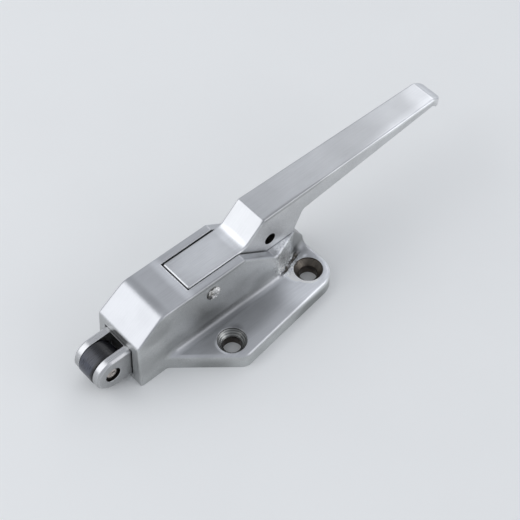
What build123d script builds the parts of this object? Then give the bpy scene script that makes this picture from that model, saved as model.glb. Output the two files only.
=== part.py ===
from build123d import *
import math
import os

os.makedirs("parts", exist_ok=True)

# Handle latch with a sliding roller tongue. Sizes are in millimetres and degrees.
# X runs from the roller (-X) to the tip of the lever (+X), the mounting flange stands out
# to -Y, and Z is up from the mounting face. The handle pin crosses X = 0.

# Fits
slide_gap = 0.3          # between the tongue and its channel, on every side
running_gap = 0.05       # radial, where a pin turns in a bore
rivet_gap = 0.02         # radial, where a pin or screw is fixed in its hole
seat_gap = 0.3           # between parts that rest on each other and move apart
swing_gap = 0.5          # between the swinging arm and the arc that clears it
overshoot = 1.0          # how far a cutter runs past the face that it cuts
nearness = 0.01          # two places closer than this count as the same

# Tongue, roller and axle
tongue_width = 19.3
tongue_height = 19.4
tongue_tail = 14.0       # from the handle pin back to the tail face
cheek_edge = 1.1         # chamfer round the outer faces of the fork
roller_radius = 9.65
roller_width = 10.6
roller_side_gap = 0.15
roller_reach = 11.7      # from the front face of the housing out to the roller's axle
roller_edge = 0.6
roller_back_gap = 0.9    # behind the roller, to the root of the fork
fork_setback = 0.35      # how far the cheeks stop short of the roller
axle_radius = 2.9
axle_recess_radius = 4.3
axle_recess_depth = 1.7
axle_dome = 0.5
axle_sink = 1.15         # from a cheek's outer face in to the rim of the axle's end
bush_wall = 1.2

# Handle
handle_width = 19.44
arm_front = 11.05        # the arm's front edge, ahead of the pin
arm_thickness = 6.1
arm_crown = 7.7          # top of the arm above the pin
neck_start = 25.0        # where the neck starts to rise behind the pin
neck_run = 12.3
neck_hollow = 9.0        # rounding where the neck rises from the arm
arm_round = 1.3          # top of the arm's front edge
lever_rise = 11.1        # top of the lever above the top of the arm
lever_reach = 163.3      # from the pin to the tip of the lever
lever_tip_width = 15.8
lever_root_depth = 12.2
lever_tip_depth = 4.3
lip_length = 6.5
lip_drop = 1.9
tip_round = 4.0          # corners of the tip, from above
nose_run = 6.0           # length of the slope that ends the top of the lever
nose_drop = 3.0          # how far that slope falls
nose_round = 2.0         # above and below that slope
lip_round = 1.5          # under the tip, also at the neck's bend and the cheeks' rear feet
web_round = 4.0          # where the cheeks run out into the lever
cheek_foot_end = 57.0    # rear end of the cheeks' feet
cheek_top_end = 63.6     # where the cheeks run out into the lever
cheek_wall = 3.4
handle_roof = 3.7
hollow_start = 12.0
hollow_tip = 21.3        # from the end of the hollow to the tip of the lever
hollow_round = 0.8       # corners of the hollow's end, from above
hub_radius = 5.6
handle_edge = 1.0

# Finger of the handle, which draws the tongue back
lift_angle = 30.0
finger_reach = 18.0      # from the pin to the centre of the finger's round nose
finger_nose = 3.4
finger_width = 12.0
pocket_turn = 0.85       # below the nose's centre, where the pocket's rear wall starts to lean

# Handle pin, riveted over in both side walls
pin_radius = 2.5
pin_head_radius = 4.0
pin_head_sink = 1.1
pin_head_dome = 0.9
pin_head_rim = 0.2       # straight edge of a peened head, under its dome

# Lock hole through both cheeks and the lug between them
lock_x = 41.3
lock_rise = 1.65         # above the pin
lock_radius = 3.3
lug_wall = 3.2
lug_gap = 0.5            # from the lug to each cheek

# Housing
side_gap = 0.7           # from the handle's arm to each wall of the slot
side_wall = 4.5          # wall beside the slot, at the top
draft = 2.6
deck_thickness = 2.3
pin_rise = 6.3           # pin above the deck
top_land = 19.7          # flat top ahead of the slot
front_slope = 36.7
front_length = 47.1      # pin to the front face at the foot of the slope
front_wall = 3.5
window_gap = 0.8         # from the tongue to each jamb of the window
notch_angle = 36.0
ledge_lead = 1.6         # the notch reaches the ledge this far ahead of the lock hole
tail_lead = 2.0          # from the notch's foot back to the start of the boat-tail
tail_angle = 19.5        # boat-tail sides, in plan
tail_top_end = 58.0
tail_run = 8.4           # from the end of the tail's top back to its rear edge
tail_shoulder = 12.8     # height of the tail at its rear edge
crease_round = 7.0       # between the front slope and the top
fold_round = 2.4         # between the front slope and the front face
body_edge = 1.2          # rounded edges of the body
flange_fillet = 4.0      # where the body rises out of the flange

# Mounting flange and its screw holes, seen from above
flange_thickness = 9.0
flange_edge = 1.8
hole_1 = (-1.7, -30.0)
hole_2 = (55.8, -22.8)
hole_radius = 4.75
head_radius = 7.5
head_sink = 1.0
head_cone = 90.0
flange_margin = 12.1     # from the line of the holes to the long edge
flange_setback = 15.1    # from the housing's front back to where the slanting edge leaves it
flange_slant = 41.0
flange_front_round = 6.5
flange_rear_round = 12.0

# Base plate and its screws
plate_thickness = 3.2
plate_rim = 1.7          # of the housing, beside the plate
plate_fit = 0.1          # round the edge of the plate
plate_overlap = 5.0      # of the plate behind the channel's end
plate_screw_radius = 1.25
plate_screw_head = 2.35
plate_screw_length = 8.0
plate_screw_inset = 2.7  # from the plate's side to the screw's axis
plate_screw_lead = 9.0   # from the plate's front edge to the first screws
plate_screw_back = 4.0   # from the start of the boat-tail forward to the last screws

# Spring and its guide
spring_length = 30.5
spring_wire = 0.8        # radius of the wire
spring_wire_sides = 8    # the wire's round section is drawn as a polygon
spring_coil = 5.4        # radius at the middle of the wire
spring_turns = 6.5
guide_radius = 3.0
guide_collar_radius = 6.6
guide_collar = 1.5
guide_root = 8.0         # depth of the guide's end in the wall
guide_gap = 0.4          # radial, in the tongue's tail
guide_lead = 3.0         # free length from the tail face to the guide's end
guide_end_gap = 1.0      # from the guide's end to the bottom of its bore, with the tongue drawn back

# Heights that follow
tongue_bottom = plate_thickness + slide_gap
tongue_mid = tongue_bottom + tongue_height / 2
tongue_top = tongue_bottom + tongue_height
channel_roof = tongue_top + slide_gap
deck_top = channel_roof + deck_thickness
pin_z = deck_top + pin_rise
body_top = pin_z + arm_crown
lever_top = body_top + lever_rise
lock_z = pin_z + lock_rise

# Widths that follow
channel_half = tongue_width / 2 + slide_gap
window_half = tongue_width / 2 + window_gap
handle_half = handle_width / 2
slot_half = handle_half + side_gap
draft_slope = math.tan(math.radians(draft))
body_half = slot_half + side_wall + body_top * draft_slope
cheek_inner = handle_half - cheek_wall
lug_half = cheek_inner - lug_gap
fork_half = roller_width / 2 + roller_side_gap

# Lengths that follow
swing_radius = math.hypot(arm_front, arm_crown) + swing_gap
slot_front = -math.sqrt(swing_radius**2 - arm_crown**2)
crease_x = slot_front - top_land
notch_foot = lock_x - ledge_lead
notch_head = notch_foot - (body_top - deck_top) / math.tan(math.radians(notch_angle))
slope_rate = math.tan(math.radians(front_slope))
front_foot_z = body_top - (front_length + crease_x) * slope_rate
front_base = -front_length - front_foot_z * draft_slope
channel_front = -front_length + front_wall
spring_end = tongue_tail + spring_length
channel_end = spring_end + guide_collar
roller_x = -front_length - roller_reach
half_lift = lift_angle / 2
neck_end = neck_start + neck_run
hollow_end = lever_reach - hollow_tip
tail_start = notch_foot + tail_lead
tail_end = tail_top_end + tail_run
flange_root = -front_length + flange_setback
plate_half = body_half - plate_rim
wall_at_pin = body_half - pin_z * draft_slope
tongue_travel = 2 * finger_reach * math.sin(math.radians(half_lift))
finger_x = -finger_reach * math.sin(math.radians(half_lift))
finger_z = pin_z - finger_reach * math.cos(math.radians(half_lift))


def side_slab(points, half_width):
    """Slab across the latch, symmetric about Y = 0, with an outline of (x, z) points."""
    outline = make_face(Polyline(*points, close=True))
    return extrude(Plane.XZ * outline, amount=half_width, both=True)


def cross_rod(x, z, radius, half_width):
    """Round bar across the latch, symmetric about Y = 0."""
    return Pos(x, 0, z) * Rot(90, 0, 0) * Cylinder(radius, 2 * half_width)


def long_rod(x_start, x_end, radius):
    """Round bar along X at the height of the tongue's middle."""
    rod = Cylinder(radius, x_end - x_start, align=(Align.CENTER, Align.CENTER, Align.MIN))
    return Pos(x_start, 0, tongue_mid) * Rot(0, 90, 0) * rod


def span_box(x_span, y_span, z_span):
    """Box between two corners, given as its spans along X, Y and Z."""
    size = [high - low for low, high in (x_span, y_span, z_span)]
    centre = [(low + high) / 2 for low, high in (x_span, y_span, z_span)]
    return Pos(*centre) * Box(*size)


def body_block():
    """Outer form of the housing: a drafted plan cut to the side view's outline."""
    tail_half = body_half - (tail_end - tail_start) * math.tan(math.radians(tail_angle))
    plan = [
        (front_base, -body_half),
        (tail_start, -body_half),
        (tail_end, -tail_half),
        (tail_end, tail_half),
        (tail_start, body_half),
        (front_base, body_half),
    ]
    block = extrude(make_face(Polyline(*plan, close=True)), amount=body_top, taper=draft)
    tail_rate = (deck_top - tail_shoulder) / (tail_end - tail_top_end)
    far_front = front_base - top_land
    outline = [
        (far_front, 0),
        (far_front, body_top - (crease_x - far_front) * slope_rate),
        (crease_x, body_top),
        (notch_head, body_top),
        (notch_foot, deck_top),
        (tail_top_end, deck_top),
        (tail_end, tail_shoulder),
        (tail_end + tail_shoulder / tail_rate, 0),
    ]
    side = make_face(Polyline(*outline, close=True))
    crease = side.vertices().sort_by_distance((crease_x, body_top, 0))[0]
    side = fillet(crease, crease_round)
    return block & extrude(Plane.XZ * side, amount=body_half, both=True)


def flange_plan():
    """Plan of the flange: a slanting front edge, a long edge beside the holes, a square rear."""
    run = (hole_2[0] - hole_1[0], hole_2[1] - hole_1[1])
    length = math.hypot(*run)
    along = (run[0] / length, run[1] / length)
    edge_point = (hole_1[0] + along[1] * flange_margin, hole_1[1] - along[0] * flange_margin)
    rate = along[1] / along[0]
    slant = math.tan(math.radians(flange_slant))
    front_x = (-body_half + slant * flange_root - edge_point[1] + rate * edge_point[0]) / (rate + slant)
    front_corner = (front_x, -body_half - slant * (front_x - flange_root))
    rear_corner = (tail_end, edge_point[1] + rate * (tail_end - edge_point[0]))
    inner_x = flange_root - flange_thickness
    outline = Polyline(
        (inner_x, -body_half - slant * (inner_x - flange_root)),
        front_corner,
        rear_corner,
        (tail_end, 0),
        (inner_x, 0),
        close=True,
    )
    plan = make_face(outline)
    corners = plan.vertices().sort_by(Axis.Y)
    plan = fillet(corners[0:1], flange_front_round)
    rear = plan.vertices().sort_by_distance((rear_corner[0], rear_corner[1], 0))
    return fillet(rear[0:1], flange_rear_round)


def screw_hole_cutter():
    """Cutter of one mounting hole: a short sunk bore over a cone for the screw's head."""
    cone_depth = (head_radius - hole_radius) / math.tan(math.radians(head_cone / 2))
    cone_z = flange_thickness - head_sink - cone_depth / 2
    bore = Cylinder(hole_radius, 3 * flange_thickness)
    cone = Pos(0, 0, cone_z) * Cone(hole_radius, head_radius, cone_depth)
    sink = Pos(0, 0, flange_thickness) * Cylinder(head_radius, 2 * head_sink)
    return bore + cone + sink


def housing_casting():
    """Body and flange in one rounded casting, before anything is cut out of it."""
    body = body_block()
    fold = body.edges().sort_by_distance((front_base, 0, front_foot_z))[0]
    body = fillet(fold, fold_round)
    outer = body.edges().filter_by(lambda edge: edge.center().Z > plate_thickness)
    outer = outer.filter_by(lambda edge: edge.center().X < tail_end - body_edge)
    corner = body.edges().sort_by_distance((tail_start, -body_half, deck_top / 2))[0]
    outer = outer.filter_by(lambda edge: (edge.center() - corner.center()).length > nearness)
    body = fillet(outer, body_edge)
    flange = extrude(flange_plan(), amount=flange_thickness)
    rim = flange.edges().group_by(Axis.Z)[-1]
    rim = rim.filter_by(lambda edge: edge.center().Y < -nearness and edge.center().X > flange_root)
    flange = fillet(rim, flange_edge)
    casting = body + flange
    root = casting.edges().filter_by(lambda edge: abs(edge.center().Z - flange_thickness) < nearness)
    root = root.filter_by(lambda edge: body.distance_to(edge.center()) < nearness)
    return fillet(root, flange_fillet)


def dome(radius, height):
    """Shallow round cap that stands on the XY plane."""
    ball_radius = (radius**2 + height**2) / (2 * height)
    slice_above = Cylinder(2 * radius, 2 * height, align=(Align.CENTER, Align.CENTER, Align.MIN))
    return Pos(0, 0, height - ball_radius) * Sphere(ball_radius) & slice_above


def riveted_pin(half_points, dome_height):
    """Pin across the latch from a half profile of (radius, height) points, with domed ends."""
    rim_radius, rim_height = half_points[-1]
    mirrored = [(radius, -height) for radius, height in reversed(half_points)]
    outline = Polyline((0, -rim_height), *mirrored, *half_points, (0, rim_height), close=True)
    shaft = revolve(Plane.XZ * make_face(outline), Axis.Z)
    cap = Pos(0, 0, rim_height) * dome(rim_radius, dome_height)
    return Rot(90, 0, 0) * (shaft + cap + mirror(cap, Plane.XY))


def handle_pin_form(gap, rim_height):
    """The handle pin with its peened heads, or with a gap and a deep rim the hole for it."""
    shank = pin_radius + gap
    head = pin_head_radius + gap
    points = [
        (shank, wall_at_pin - pin_head_sink),
        (head, wall_at_pin),
        (head, wall_at_pin + rim_height),
    ]
    return Pos(0, 0, pin_z) * riveted_pin(points, pin_head_dome)


def plate_plan(inset):
    """Plan of the base plate's recess, drawn in by this much on every side."""
    half = plate_half - inset
    rear = channel_end + plate_overlap - inset
    rear_half = half - (rear - tail_start) * math.tan(math.radians(tail_angle))
    front = channel_front + inset
    points = [
        (front, -half),
        (tail_start, -half),
        (rear, -rear_half),
        (rear, rear_half),
        (tail_start, half),
        (front, half),
    ]
    return make_face(Polyline(*points, close=True))


def plate_screw_places():
    """Places of the base plate's screws, seen from above."""
    y = plate_half - plate_screw_inset
    first = channel_front + plate_screw_lead
    last = tail_start - plate_screw_back
    return [(x, side * y) for x in (first, last) for side in (-1, 1)]


def plate_screw(gap):
    """One countersunk screw, head down and flush with the mounting face; gap makes its hole."""
    head_height = plate_screw_head - plate_screw_radius
    shank = Cylinder(
        plate_screw_radius + gap,
        plate_screw_length + gap,
        align=(Align.CENTER, Align.CENTER, Align.MIN),
    )
    head = Pos(0, 0, head_height / 2) * Cone(plate_screw_head + gap, plate_screw_radius + gap, head_height)
    return shank + head


def housing():
    """Cast housing: tongue channel below the deck, slot for the handle above it."""
    solid = housing_casting()
    top = 2 * body_top
    channel_width = (-channel_half, channel_half)
    window_width = (-window_half, window_half)
    solid -= span_box((channel_front, channel_end), channel_width, (-overshoot, channel_roof))
    solid -= span_box((roller_x, channel_front + overshoot), window_width, (plate_thickness, channel_roof))
    solid -= extrude(plate_plan(0), amount=plate_thickness)
    solid -= cross_rod(0, pin_z, swing_radius, slot_half)
    solid -= span_box((0, lever_reach), (-slot_half, slot_half), (deck_top, top))
    solid += lock_lug()
    solid -= handle_pin_form(rivet_gap, pin_radius)
    solid -= cross_rod(lock_x, lock_z, lock_radius, cheek_inner)
    solid -= long_rod(channel_end - overshoot, channel_end + guide_root, guide_radius + rivet_gap)
    for place in (hole_1, hole_2):
        solid -= Pos(*place) * screw_hole_cutter()
    for place in plate_screw_places():
        solid -= Pos(*place) * plate_screw(rivet_gap)
    return solid


def lock_lug():
    """Lug on the deck that carries the housing's part of the lock hole."""
    lug_radius = lock_radius + lug_wall
    x_span = (lock_x - lug_radius, lock_x + lug_radius)
    foot = span_box(x_span, (-lug_half, lug_half), (channel_roof, lock_z))
    return foot + cross_rod(lock_x, lock_z, lug_radius, lug_half)


def base_plate():
    """Flat plate that closes the channel and carries the tongue."""
    plate = extrude(plate_plan(plate_fit), amount=plate_thickness)
    for place in plate_screw_places():
        plate -= Pos(*place) * plate_screw(rivet_gap)
    return plate


def base_plate_screws():
    """The plate's four screws."""
    screws = [Pos(*place) * plate_screw(0) for place in plate_screw_places()]
    return Compound(children=screws)


def tongue():
    """Sliding tongue: roller fork in front, pocket for the handle's finger, bored tail."""
    half = tongue_width / 2
    nose_radius = tongue_height / 2
    nose_x = roller_x + fork_setback
    bar = span_box((nose_x, tongue_tail), (-half, half), (tongue_bottom, tongue_top))
    bar += cross_rod(nose_x, tongue_mid, nose_radius, half)
    sides = bar.faces().filter_by(Axis.Y)
    bar = chamfer(sides.edges(), cheek_edge)
    fork_root = roller_x + roller_radius + roller_back_gap
    bar -= span_box((nose_x - 2 * nose_radius, fork_root), (-fork_half, fork_half), (0, channel_roof))
    bar -= cross_rod(roller_x, tongue_mid, axle_radius + rivet_gap, half)
    recess = Cylinder(axle_recess_radius, 2 * axle_recess_depth)
    for side in (-1, 1):
        bar -= Pos(roller_x, side * half, tongue_mid) * Rot(90, 0, 0) * recess
    bar -= finger_pocket()
    bore_depth = tongue_travel - guide_lead + guide_end_gap
    bar -= long_rod(tongue_tail - bore_depth, tongue_tail + overshoot, guide_radius + guide_gap)
    return bar


def finger_pocket():
    """Pocket in the tongue: the finger pulls on its rear wall, and has free travel ahead."""
    shank_drop = pin_z - tongue_top
    tilt = math.radians(half_lift)
    rear = finger_x + finger_nose + slide_gap
    rear_top = finger_nose / math.cos(tilt) - shank_drop * math.tan(tilt) + 2 * slide_gap
    front = finger_x - finger_nose - tongue_travel - slide_gap
    floor = pin_z - finger_reach - finger_nose - 2 * slide_gap
    points = [
        (front, floor),
        (rear, floor),
        (rear, finger_z - pocket_turn),
        (rear_top, tongue_top),
        (rear_top, channel_roof),
        (front, channel_roof),
    ]
    return side_slab(points, finger_width / 2 + slide_gap)


def roller():
    """Wear roller, a plain ring with rounded edges."""
    bore = axle_radius + running_gap + bush_wall
    ring = Cylinder(roller_radius, roller_width)
    ring = fillet(ring.edges(), roller_edge)
    ring -= Cylinder(bore, 2 * roller_width)
    return Pos(roller_x, 0, tongue_mid) * Rot(90, 0, 0) * ring


def roller_bush():
    """Sleeve pressed into the roller, which turns on the axle."""
    inner = axle_radius + running_gap
    sleeve = Cylinder(inner + bush_wall - rivet_gap, roller_width) - Cylinder(inner, 2 * roller_width)
    return Pos(roller_x, 0, tongue_mid) * Rot(90, 0, 0) * sleeve


def roller_axle():
    """Axle riveted into both cheeks of the fork, its ends domed inside the recesses."""
    end = tongue_width / 2 - axle_sink
    return Pos(roller_x, 0, tongue_mid) * riveted_pin([(axle_radius, end)], axle_dome)


def handle_side():
    """Half slab of the handle's side view, from the front of the arm to the lip at the tip."""
    foot_z = deck_top + seat_gap
    lip_z = lever_top - lever_tip_depth - lip_drop
    lip_root = lever_reach - lip_length
    points = [
        (-arm_front, body_top),
        (neck_start, body_top),
        (neck_end, lever_top),
        (lever_reach - nose_run, lever_top),
        (lever_reach, lever_top - nose_drop),
        (lever_reach, lip_z),
        (lip_root + lip_drop, lip_z),
        (lip_root, lever_top - lever_tip_depth),
        (cheek_top_end, lever_top - lever_root_depth),
        (cheek_foot_end, foot_z),
        (hub_radius, foot_z),
        (-arm_front, body_top - arm_thickness),
    ]
    side = make_face(Polyline(*points, close=True))
    rounds = [
        ((lever_reach - nose_run, lever_top), nose_round),
        ((lever_reach, lever_top - nose_drop), nose_round),
        ((lever_reach, lip_z), lip_round),
        ((cheek_top_end, lever_top - lever_root_depth), web_round),
        ((cheek_foot_end, foot_z), lip_round),
        ((neck_end, lever_top), lip_round),
        ((neck_start, body_top), neck_hollow),
        ((-arm_front, body_top), arm_round),
    ]
    for (x, z), radius in rounds:
        corner = side.vertices().sort_by_distance((x, z, 0))[0]
        side = fillet(corner, radius)
    return extrude(Plane.XZ * side, amount=handle_half)


def handle_plan(inset, reach, corner_round):
    """Plan of the handle: straight over the arm, tapered along the lever."""
    half = handle_half - inset
    tip_half = lever_tip_width / 2 - inset
    rate = (half - tip_half) / (lever_reach - neck_end)
    reach_half = half - rate * (reach - neck_end)
    points = [
        (-2 * arm_front, -half),
        (neck_end, -half),
        (reach, -reach_half),
        (reach, reach_half),
        (neck_end, half),
        (-2 * arm_front, half),
    ]
    plan = make_face(Polyline(*points, close=True))
    return fillet(plan.vertices().group_by(Axis.X)[-1], corner_round)


def handle_hollow():
    """Space under the roof of the handle and between its cheeks."""
    lift = math.atan2(lever_rise, neck_run)
    shift = handle_roof * math.tan(lift / 2)
    points = [
        (hollow_start, deck_top),
        (hollow_start, body_top - handle_roof),
        (neck_start + shift, body_top - handle_roof),
        (neck_end + shift, lever_top - handle_roof),
        (hollow_end, lever_top - handle_roof),
        (hollow_end, deck_top),
    ]
    plan = handle_plan(cheek_wall, hollow_end, hollow_round)
    return side_slab(points, handle_half) & extrude(plan, amount=lever_top)


def handle():
    """Cast handle: solid arm and hub, hollow neck and lever, finger below the hub."""
    near_half = handle_side() & extrude(handle_plan(0, lever_reach, tip_round), amount=2 * lever_top)
    top_edges = near_half.edges().filter_by(lambda edge: edge.center().Z > body_top - nearness)
    top_edges = top_edges.filter_by(lambda edge: edge.center().Y < -handle_half / 2)
    top_edges = top_edges.filter_by(
        lambda edge: edge.center().X < neck_end or edge.center().Z > lever_top - lever_tip_depth
    )
    near_half = fillet(top_edges, handle_edge)
    lever = near_half + mirror(near_half, Plane.XZ)
    lever += cross_rod(0, pin_z, hub_radius, handle_half)
    lever -= handle_hollow()
    lever += finger()
    lever -= cross_rod(0, pin_z, pin_radius + running_gap, handle_width)
    lever -= cross_rod(lock_x, lock_z, lock_radius, handle_width)
    return lever


def finger():
    """Finger below the hub, tilted forward at rest by half of the handle's lift."""
    shank = Box(2 * finger_nose, finger_width, finger_reach)
    shank = Pos(0, 0, pin_z) * Rot(0, half_lift, 0) * Pos(0, 0, -finger_reach / 2) * shank
    return shank + cross_rod(finger_x, finger_z, finger_nose, finger_width / 2)


def handle_pin():
    """Pin on which the handle swings, its ends peened over in the side walls."""
    return handle_pin_form(0, pin_head_rim)


def spring_guide():
    """Rod that keeps the spring straight, set in the wall behind the channel."""
    front = tongue_tail + guide_lead
    rod = long_rod(front, channel_end + guide_root, guide_radius)
    rod = chamfer(rod.edges().group_by(Axis.X)[0], guide_gap)
    return rod + long_rod(channel_end - guide_collar, channel_end, guide_collar_radius)


def tongue_spring():
    """Compression spring with ground ends, between the tongue's tail and the guide's collar."""
    length = spring_length + 2 * spring_wire
    path = Helix(pitch=length / spring_turns, height=length, radius=spring_coil)
    wire = Plane(origin=path @ 0, z_dir=path % 0) * RegularPolygon(spring_wire, spring_wire_sides)
    coil = sweep(wire, path=path, is_frenet=True)
    coil = Pos(tongue_tail - spring_wire, 0, tongue_mid) * Rot(0, 90, 0) * coil
    outer = 2 * spring_coil
    z_span = (tongue_mid - outer, tongue_mid + outer)
    return coil & span_box((tongue_tail, spring_end), (-outer, outer), z_span)


makers = [
    housing,
    base_plate,
    base_plate_screws,
    tongue,
    roller,
    roller_bush,
    roller_axle,
    handle,
    handle_pin,
    spring_guide,
    tongue_spring,
]

for make in makers:
    export_step(make(), f"parts/{make.__name__}.step")

print("tongue travel, mm:", round(tongue_travel, 3))
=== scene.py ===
"""Looks of a cast handle latch: ground stainless castings, riveted pins and a black roller."""

import logging
import math
from collections.abc import Callable
from dataclasses import dataclass
from enum import Enum

import bpy
from mathutils import Matrix, Vector


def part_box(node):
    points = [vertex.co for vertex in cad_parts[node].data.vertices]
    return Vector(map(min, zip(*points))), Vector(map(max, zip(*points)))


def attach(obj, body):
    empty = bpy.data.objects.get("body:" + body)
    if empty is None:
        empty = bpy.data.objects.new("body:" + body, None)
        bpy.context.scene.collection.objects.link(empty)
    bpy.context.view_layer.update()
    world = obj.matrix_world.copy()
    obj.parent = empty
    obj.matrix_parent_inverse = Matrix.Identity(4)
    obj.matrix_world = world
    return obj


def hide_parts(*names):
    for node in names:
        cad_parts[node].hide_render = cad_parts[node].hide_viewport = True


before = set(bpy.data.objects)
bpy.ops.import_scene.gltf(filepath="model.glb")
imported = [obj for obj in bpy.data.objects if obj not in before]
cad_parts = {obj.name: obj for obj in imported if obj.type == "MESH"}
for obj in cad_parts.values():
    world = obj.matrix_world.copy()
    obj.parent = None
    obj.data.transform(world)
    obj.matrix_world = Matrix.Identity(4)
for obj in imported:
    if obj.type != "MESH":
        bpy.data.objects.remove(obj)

log = logging.getLogger("handle_latch")

Socket = bpy.types.NodeSocket
Place = tuple[float, float, float]
Tint = tuple[float, float, float]
Rows = tuple[tuple[float, ...], ...]

MM = 0.001
FACING = 0.9  # least part of a normal along an axis for a face that looks along it
TOUCH = 0.1 * MM  # two places closer than this count as the same
WELD = 0.002 * MM  # points closer than this are made one
EDGE_LIKENESS = (0.90, 0.995)  # of the rounded and the plain normal, on an edge and off it


def spot(x: float, y: float, z: float) -> Place:
    """A place or a reach given in millimetres."""
    return (x * MM, y * MM, z * MM)


def shade(tint: Tint, factor: float = 1.0) -> tuple[float, float, float, float]:
    """The tint made lighter or darker, as a colour with alpha."""
    return tuple(min(1.0, part * factor) for part in tint) + (1.0,)


class Axis(Enum):
    """Line along which a grain or a piece runs."""

    X = 0
    Y = 1
    Z = 2


class Grain(Enum):
    """Way in which a metal surface was finished."""

    BELT = "long parallel scratches from a belt"
    BLAST = "even fine pits from blasting"
    TURNED = "rings left by a lathe or a countersink"


# Values of a noise where a tone sets in and where it is full, and the tone's factor.
BELT_TONES = ((0.44, 0.68, 1.045), (0.54, 0.32, 0.96))
GRIT_TONES = ((0.52, 0.76, 1.24), (0.46, 0.26, 0.78))
SAND_TONES = ((0.50, 0.64, 1.16), (0.50, 0.36, 0.74))


class ShaderBench:
    """Wires the nodes of one material, and hands out sockets to work with."""

    def __init__(self, name: str) -> None:
        """Start an empty material with a Principled shader.

        Args:
            name: Name of the material.
        """
        self.material = bpy.data.materials.new(name)
        self.material.use_nodes = True
        self.tree = self.material.node_tree
        self.tree.nodes.clear()
        self.surface = self.add("ShaderNodeBsdfPrincipled", {})
        self.add("ShaderNodeOutputMaterial", {"Surface": self.surface.outputs["BSDF"]})
        self.where = self.add("ShaderNodeTexCoord", {})

    def fill(self, node: bpy.types.Node, feeds: dict[str | int, object]) -> None:
        """Give inputs of a node a socket's value, or a plain number, colour or vector.

        Args:
            node: The node.
            feeds: Socket or value for each input that gets one, by its name or number.
        """
        for place, value in feeds.items():
            if isinstance(value, Socket):
                self.tree.links.new(value, node.inputs[place])
            else:
                node.inputs[place].default_value = value

    def add(self, kind: str, feeds: dict[str | int, object], **settings: object) -> bpy.types.Node:
        """Add a node.

        Args:
            kind: Type of the node.
            feeds: What to fill its inputs with.
            **settings: Its properties.

        Returns:
            The node.
        """
        node = self.tree.nodes.new(kind)
        for key, setting in settings.items():
            setattr(node, key, setting)
        self.fill(node, feeds)
        return node

    def hand_over(self, colour: object, rough: object, relief: Socket) -> bpy.types.Material:
        """Fill the shader's colour, roughness and normal, and give the finished material."""
        self.fill(self.surface, {"Base Color": colour, "Roughness": rough, "Normal": relief})
        return self.material

    def sum_up(self, operation: str, first: object, second: object = 0.0) -> Socket:
        """Arithmetic on two sockets or numbers, named as the Math node names it."""
        return self.add("ShaderNodeMath", {0: first, 1: second}, operation=operation).outputs[0]

    def reckon(self, operation: str, first: Socket, second: object = (0, 0, 0)) -> bpy.types.Node:
        """Arithmetic on two vectors: a node with the outputs Vector and Value."""
        return self.add("ShaderNodeVectorMath", {0: first, 1: second}, operation=operation)

    def times(self, *values: object) -> Socket:
        """Product of two or more values, clamped to 0 to 1."""
        product = values[0]
        for value in values[1:]:
            product = self.sum_up("MULTIPLY", product, value)
            product.node.use_clamp = True
        return product

    def fit(self, value: Socket, low: float, high: float, to_low: float = 0.0,
            to_high: float = 1.0) -> Socket:
        """Carry the span from low to high smoothly onto another one, clamped."""
        spans = {"From Min": low, "From Max": high, "To Min": to_low, "To Max": to_high}
        return self.add("ShaderNodeMapRange", {"Value": value, **spans},
                        interpolation_type="SMOOTHSTEP").outputs["Result"]

    def mix(self, share: object, first: object, second: object) -> Socket:
        """Blend two colours, from the first at a share of 0 to the second at 1."""
        return self.add("ShaderNodeMix", {0: share, 6: first, 7: second},
                        data_type="RGBA").outputs[2]

    def level(self, share: object, first: object, second: object) -> Socket:
        """Blend two numbers, from the first at a share of 0 to the second at 1."""
        return self.add("ShaderNodeMix", {0: share, 2: first, 3: second},
                        data_type="FLOAT").outputs[0]

    def lighten(self, share: object, colour: object, factor: float) -> Socket:
        """Multiply a colour by a factor, above 1 or below it, as far as a share says."""
        grey = (factor, factor, factor, 1)
        return self.add("ShaderNodeMix", {0: share, 6: colour, 7: grey}, data_type="RGBA",
                        blend_type="MULTIPLY", clamp_result=True).outputs[2]

    def speckle(self, noise: Socket, tones: Rows, colour: object,
                within: object = 1.0) -> object:
        """Lighten and darken a colour where a noise says so.

        Args:
            noise: Noise to follow.
            tones: Start, full value and factor of each tone.
            colour: Colour so far.
            within: Share of the surface that takes the speckles.

        Returns:
            The new colour.
        """
        for start, full, factor in tones:
            share = self.times(self.fit(noise, start, full), within)
            colour = self.lighten(share, colour, factor)
        return colour

    def scaled(self, scale: Place, offset: Place = (0, 0, 0)) -> Socket:
        """Object coordinates in metres, moved by an offset and then stretched by a scale."""
        moved = self.reckon("SUBTRACT", self.where.outputs["Object"], offset)
        return self.reckon("MULTIPLY", moved.outputs["Vector"], scale).outputs["Vector"]

    def noise(self, scale: float | Place, detail: float, roughness: float = 0.55) -> Socket:
        """Cloudy noise from 0 to 1: features per metre, octaves, and the share that each keeps."""
        stretch = scale if isinstance(scale, tuple) else (scale, scale, scale)
        return self.add("ShaderNodeTexNoise", {
            "Vector": self.scaled(stretch), "Scale": 1.0, "Detail": detail,
            "Roughness": roughness}).outputs["Fac"]

    def wave(self, place: Socket, pitch: float) -> Socket:
        """Sine wave from -1 to 1 with a pitch in metres."""
        return self.sum_up("SINE", self.sum_up("MULTIPLY", place, 2 * math.pi / pitch))

    def part(self, source: str, axis: Axis) -> Socket:
        """One part of an output of the Texture Coordinate node."""
        whole = {"Vector": self.where.outputs[source]}
        return self.add("ShaderNodeSeparateXYZ", whole).outputs[axis.value]

    def along(self, axis: Axis) -> Socket:
        """Place along an axis, in metres."""
        return self.part("Object", axis)

    def from_line(self, centre: Place, axis: Axis) -> Socket:
        """Distance in metres to the straight line through a point along an axis."""
        across = tuple(float(part is not axis) for part in Axis)
        return self.reckon("LENGTH", self.scaled(across, centre)).outputs["Value"]

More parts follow.
